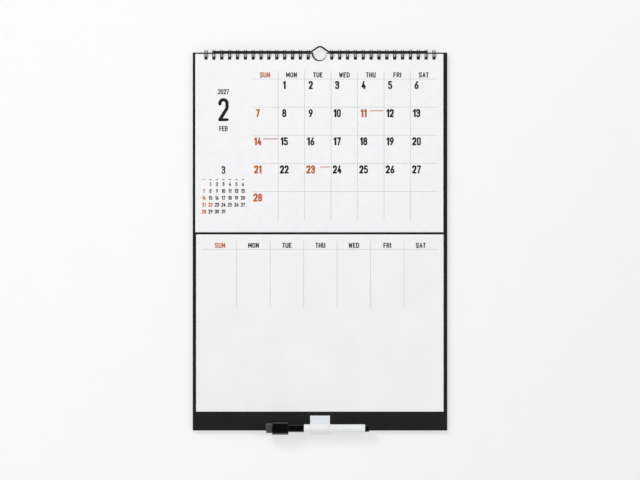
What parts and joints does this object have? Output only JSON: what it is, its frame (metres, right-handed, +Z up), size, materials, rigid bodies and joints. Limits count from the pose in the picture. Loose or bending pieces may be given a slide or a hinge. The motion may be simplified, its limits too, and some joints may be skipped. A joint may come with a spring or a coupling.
{
  "type": "wall calendar",
  "caption": "Wire-bound wall calendar: month sheets and a dry-wipe sheet on a black backing board, with a wire hanger and a marker held in a film loop.",
  "frame": {"origin": "the nail seat, inside the crown of the hanger's eye, in the board's mid-plane", "axes": "+Z up the hanging board, +X to the right seen from the front, and the front faces -Y"},
  "size_m": [0.2744, 0.0186, 0.4194],
  "materials": {
    "board_card": "matte",
    "sheet_paper": "matte",
    "dry_wipe_film": "satin",
    "coated_wire": "gloss",
    "clear_film": "satin",
    "adhesive_tape": "matte",
    "white_barrel": "satin",
    "black_plastic": "satin",
    "nib_felt": "matte",
    "reservoir_fibre": "matte",
    "eraser_felt": "matte"
  },
  "bodies": {
    "hanger": {"hanger": "coated_wire"},
    "backboard": {"backing_board": "board_card", "whiteboard_sheet": "dry_wipe_film", "wire_binding_left": "coated_wire", "wire_binding_right": "coated_wire", "pen_holder": "clear_film", "pen_holder_tape": "adhesive_tape", "marker_barrel": "white_barrel", "marker_end_plug": "black_plastic", "marker_nib": "nib_felt", "nib_collar": "black_plastic", "ink_reservoir": "reservoir_fibre"},
    "month_pad": {"month_sheets": "sheet_paper"},
    "cap": {"marker_cap": "black_plastic", "eraser_felt": "eraser_felt"}
  },
  "joints": [
    {"name": "board_swing", "type": "hinge", "parent": "hanger", "child": "backboard", "pos_m": [0, 0, -0.00445], "axis": [-1, 0, 0], "range_deg": [0, 70]},
    {"name": "sheets_turn", "type": "hinge", "parent": "backboard", "child": "month_pad", "pos_m": [0, -0.001, -0.00701], "axis": [-1, 0, 0], "range_deg": [0, 90]},
    {"name": "cap_pull", "type": "slide", "parent": "backboard", "child": "cap", "axis": [-1, 0, 0], "range_m": [0, 0.025]}
  ]
}
